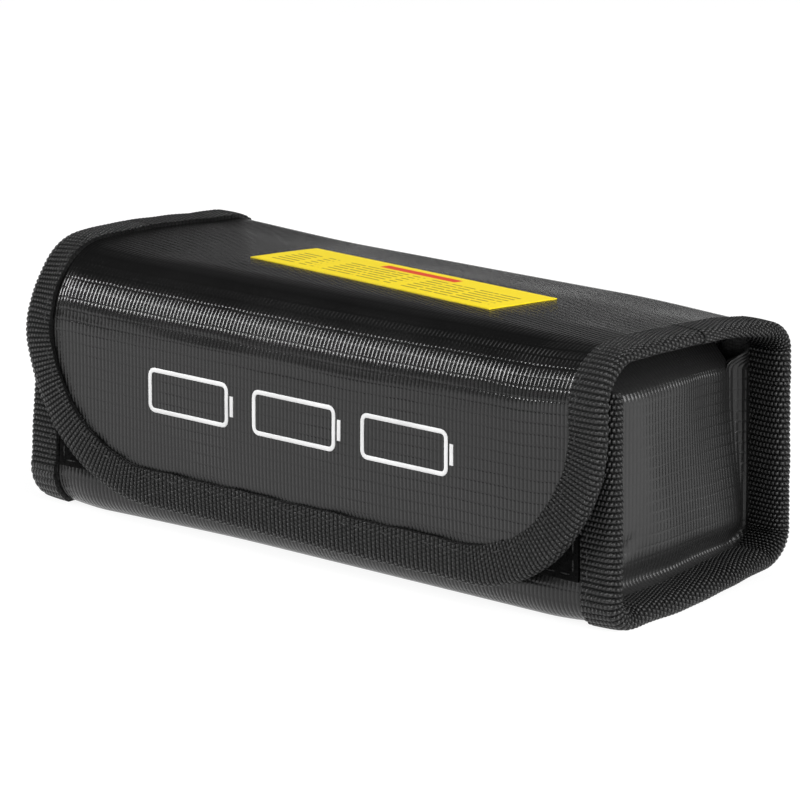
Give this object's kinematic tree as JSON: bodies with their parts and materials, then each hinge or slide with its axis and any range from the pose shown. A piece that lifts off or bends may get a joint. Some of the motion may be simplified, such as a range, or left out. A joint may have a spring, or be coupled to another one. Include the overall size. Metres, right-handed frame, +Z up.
{
  "type": "battery safety bag",
  "caption": "Box-shaped fire-resistant cloth bag for drone and model batteries, with a fold-over lid, a front flap closed by hook-and-loop tape, fold-in side ears and taped edges.",
  "frame": {"origin": "centre of the bag's footprint, at the lowest point of the end tapes that it stands on", "axes": "+X along the length, to the right of a person who faces the flap; -Y out of the flap's face; +Z up"},
  "size_m": [0.185, 0.0754, 0.0642],
  "materials": {
    "coated_cloth": "black coated glass-fibre cloth, satin, fine ribs and dull gloss",
    "lining_cloth": "matt woven heat-resistant cloth",
    "binding_tape": "black ribbed nylon tape, matt",
    "loop_pile": "black brushed loop pile",
    "hook_field": "black moulded hooks on woven tape",
    "thread": "black bonded nylon thread",
    "label_film": null,
    "print_ink": "white screen print"
  },
  "bodies": {
    "pouch": {"wrap_panel": "coated_cloth", "wrap_lining": "lining_cloth", "end_panel_left": "coated_cloth", "end_panel_right": "coated_cloth", "end_lining_left": "lining_cloth", "end_lining_right": "lining_cloth", "end_binding_left": "binding_tape", "end_binding_right": "binding_tape", "mouth_binding": "binding_tape", "loop_strip": "loop_pile", "end_stitches_left": "thread", "end_stitches_right": "thread", "mouth_stitches": "thread", "loop_stitches": "thread"},
    "lid": {"lid_panel": "coated_cloth", "lid_lining": "lining_cloth", "lid_binding_left": "binding_tape", "lid_binding_right": "binding_tape", "label_sticker": "label_film", "lid_stitches_left": "thread", "lid_stitches_right": "thread"},
    "flap": {"flap_panel": "coated_cloth", "flap_lining": "lining_cloth", "flap_binding": "binding_tape", "hook_strip": "hook_field", "printed_mark": "print_ink", "flap_stitches": "thread", "hook_stitches": "thread"},
    "ear_left": {"ear_panel_left": "coated_cloth", "ear_lining_left": "lining_cloth", "ear_binding_left": "binding_tape"},
    "ear_right": {"ear_panel_right": "coated_cloth", "ear_lining_right": "lining_cloth", "ear_binding_right": "binding_tape"}
  },
  "joints": [
    {"name": "lid_hinge", "type": "hinge", "parent": "pouch", "child": "lid", "pos_m": [0, 0.03495, 0.06145], "axis": [-1, 0, 0], "range_deg": [0, 150]},
    {"name": "flap_hinge", "type": "hinge", "parent": "lid", "child": "flap", "pos_m": [0, -0.03437, 0.06087], "axis": [-1, 0, 0], "range_deg": [0, 135]},
    {"name": "ear_left_hinge", "type": "hinge", "parent": "pouch", "child": "ear_left", "pos_m": [-0.078, 0.0016, 0.049], "axis": [0, -1, 0], "range_deg": [0, 82.5]},
    {"name": "ear_right_hinge", "type": "hinge", "parent": "pouch", "child": "ear_right", "pos_m": [0.078, 0.0016, 0.049], "axis": [0, 1, 0], "range_deg": [0, 82.5]}
  ],
  "couplings": [
    {"joint": "ear_left_hinge", "follows": "lid_hinge", "ratio": 0.55},
    {"joint": "ear_right_hinge", "follows": "lid_hinge", "ratio": 0.55}
  ]
}
